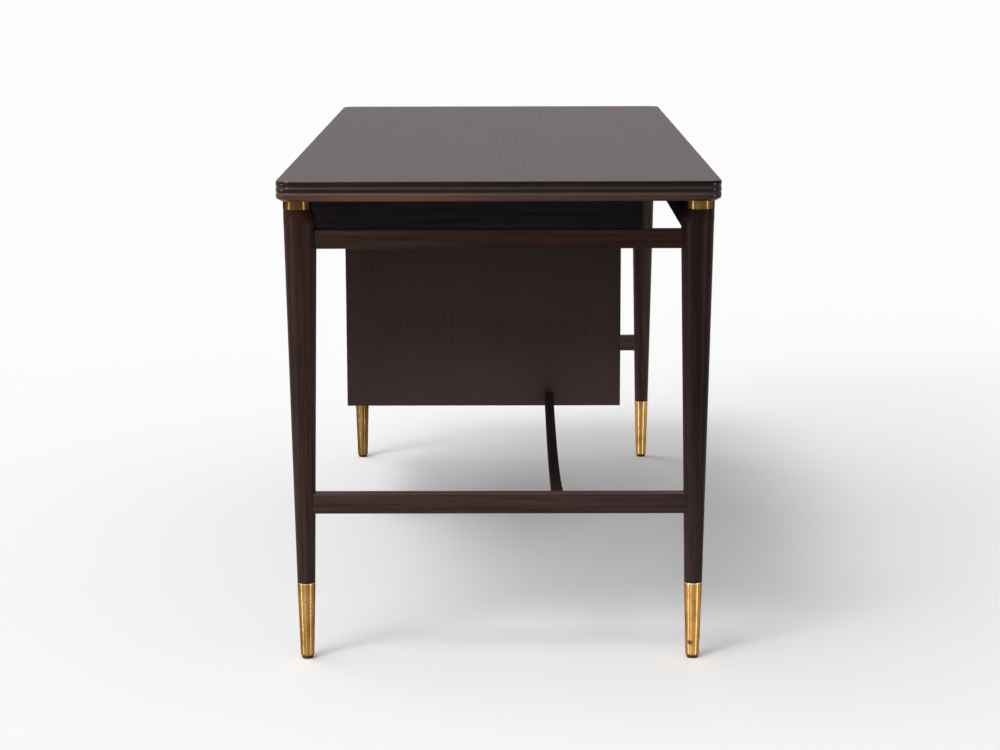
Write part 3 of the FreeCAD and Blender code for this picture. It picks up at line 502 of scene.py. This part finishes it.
# SHADOWED is painted shade: dark bluish wood for pieces that sit in shade; STRETCHER is a warmer painted
# shade of the same kind
SHADOWED = ((0.008, 0.0062, 0.008), (0.0189, 0.0147, 0.0183))
STRETCHER = ((0.0184, 0.0105, 0.0112), (0.0435, 0.0250, 0.0256))
SECONDARY = ((0.22, 0.125, 0.060), (0.52, 0.34, 0.19))

# Painted light and shade: how bright the brass is painted on each sabot and on the collars, as light falls on
# each; the collars are duller too
SABOT_PAINTED_LIGHT = {
    "sabot_front_left": 0.44,
    "sabot_front_right": 0.74,
    "sabot_rear_left": 1.26,
    "sabot_rear_right": 1.10,
}
COLLAR_PAINTED_SHADE = {"front": 0.27, "rear": 0.34}
COLLAR_DULL = 1.3

# A red-brown stain on one sabot: its middle and its reach in metres
STAINED_SABOT = "sabot_rear_right"
STAIN = ((0.7214, 0.2893, 0.0262), 0.0055)

# Painted light and shade on the legs from low to high, and on the end rails from front to rear
LEG_PAINTED_LIGHT = {
    "leg_front_left": ((1.8, 2.5, 3.0), (1.55, 2.2, 2.7), (1.05, 1.55, 1.9)),
    "leg_front_right": ((1.05, 1.62, 2.15), (1.08, 1.45, 1.75), (0.74, 0.74, 0.80)),
    "leg_rear_left": ((2.5, 3.5, 4.6), (1.95, 2.8, 3.7), (1.05, 1.65, 2.2)),
    "leg_rear_right": ((1.10, 1.75, 2.30), (0.59, 0.72, 0.95), (0.53, 0.60, 0.66)),
}
PLAIN = (1, 1, 1)
# The far rail is painted lighter and bluer, as light falls on it far off
FAR_RAIL_PAINTED_LIGHT = (1.95, 3.0, 4.2)
RAIL_PAINTED_LIGHT = {
    "upper_end_rail_left": (PLAIN, PLAIN, PLAIN),
    "upper_end_rail_right": ((0.85, 1.02, 1.13), (0.44, 0.43, 0.47), (0.43, 0.41, 0.40)),
    "lower_end_rail_left": (FAR_RAIL_PAINTED_LIGHT, FAR_RAIL_PAINTED_LIGHT, FAR_RAIL_PAINTED_LIGHT, LOWER_RAIL_TOP),
    "lower_end_rail_right": ((1.08, 1.43, 1.70), (0.86, 1.11, 1.44), (0.78, 1.06, 1.43), LOWER_RAIL_TOP),
}

# The lacquered pieces that need no tints of their own: their material's name, the axis of the
# grain, the colours, the roughness, the specular level, the seed, the wash and the nodes
LACQUERED = [
    ("wood_rear_rail", "X", SHADOWED, 0.50, 0.0, 15, None, ["rear_rail"]),
    ("wood_stretcher", "X", STRETCHER, 0.50, 0.0, 16, None, ["long_stretcher", "short_stretcher"]),
    ("wood_pedestal_side", "Z", PANEL_SIDE, 0.22, 0.36, 17, pedestal_side_painted_shade,
     ["pedestal_inner_side", "pedestal_outer_side"]),
    ("wood_back", "X", PANEL, POLISHED, GLOSS, 18, None, ["pedestal_back", "frieze_back"]),
    ("wood_frieze_end", "Y", SHADOWED, 0.36, 0.05, 19, None, ["frieze_end_panel"]),
    ("wood_inner", "X", PANEL, 0.38, GLOSS, 20, None,
     ["pedestal_bottom", "pedestal_divider", "frieze_bottom", "case_top_rails", "shelf",
      "tambour_track_top", "tambour_track_bottom"]),
    ("wood_slats", "Z", ESPRESSO, POLISHED, GLOSS, 21, slat_wash,
     ["tambour_slats_left", "tambour_slats_right"]),
    ("wood_stile", "Z", ESPRESSO, POLISHED, GLOSS, 22, None,
     ["tambour_stile_left", "tambour_stile_right"]),
    ("wood_drawer_front", "X", ESPRESSO, POLISHED, GLOSS, 23, None,
     ["pencil_drawer_front", "pedestal_drawer_front"]),
]
DRAWERS = ("pencil_drawer_", "pedestal_drawer_")


def dress(names, material):
    for name in names:
        slots = nodes[name].data.materials
        slots.clear()
        slots.append(material)


def dress_wood():
    dress(["top_slab"], wood("wood_top", "X", *TOP, seed=1, wash=top_edge_painted_light))
    for seed, (name, tints) in enumerate(LEG_PAINTED_LIGHT.items(), 2):
        dress([name], wood("wood_" + name, "Z", *ESPRESSO, roughness=0.36, specular=0.03, seed=seed,
                           wash=leg_painted_light(*tints)))
    for seed, (name, tints) in enumerate(RAIL_PAINTED_LIGHT.items(), 10):
        dress([name], wood("wood_" + name, "Y", *RAIL, roughness=0.36, specular=0.05, seed=seed,
                           wash=rail_painted_light(*tints)))
    for name, axis, colours, roughness, specular, seed, wash, names in LACQUERED:
        dress(names, wood(name, axis, *colours, roughness=roughness, specular=specular, seed=seed, wash=wash))
    for count, drawer in enumerate(DRAWERS):
        dress([drawer + "side_left", drawer + "side_right"],
              wood("wood_" + drawer + "sides", "Y", *SECONDARY, roughness=0.48, seed=24 + count))
        dress([drawer + "back", drawer + "bottom"],
              wood("wood_" + drawer + "back", "X", *SECONDARY, roughness=0.48, seed=26 + count))


def dress_metal():
    for seed, (name, tone) in enumerate(SABOT_PAINTED_LIGHT.items(), 1):
        stain = STAIN if name == STAINED_SABOT else None
        dress([name], brass("brass_" + name, seed, tone=tone, stain=stain, rim=True))
    for seed, name in enumerate((n for n in sorted(nodes) if n.startswith("collar_")), 5):
        tone = COLLAR_PAINTED_SHADE[name.split("_")[1]]
        dress([name], brass("brass_" + name, seed, tone=tone, dull=COLLAR_DULL))
    dress(["pencil_drawer_knobs", "pedestal_drawer_knobs", "cup_pull_left", "cup_pull_right"],
          brass("brass_pulls", 12))
    dress(["shelf_pins"], brass("brass_pins", 13))
    dress(["case_screws"], zinc())
    dress(["sabot_pins"], pin_metal())


def dress_rest():
    dress(["tambour_canvas_left", "tambour_canvas_right"], canvas())
    dress([n for n in nodes if n.startswith("glide_")], glide_felt())


make_camera()
make_world()
make_lamps()
make_floor()
dress_wood()
dress_metal()
dress_rest()

bpy.context.view_layer.update()
scene.view_settings.view_transform = "Standard"
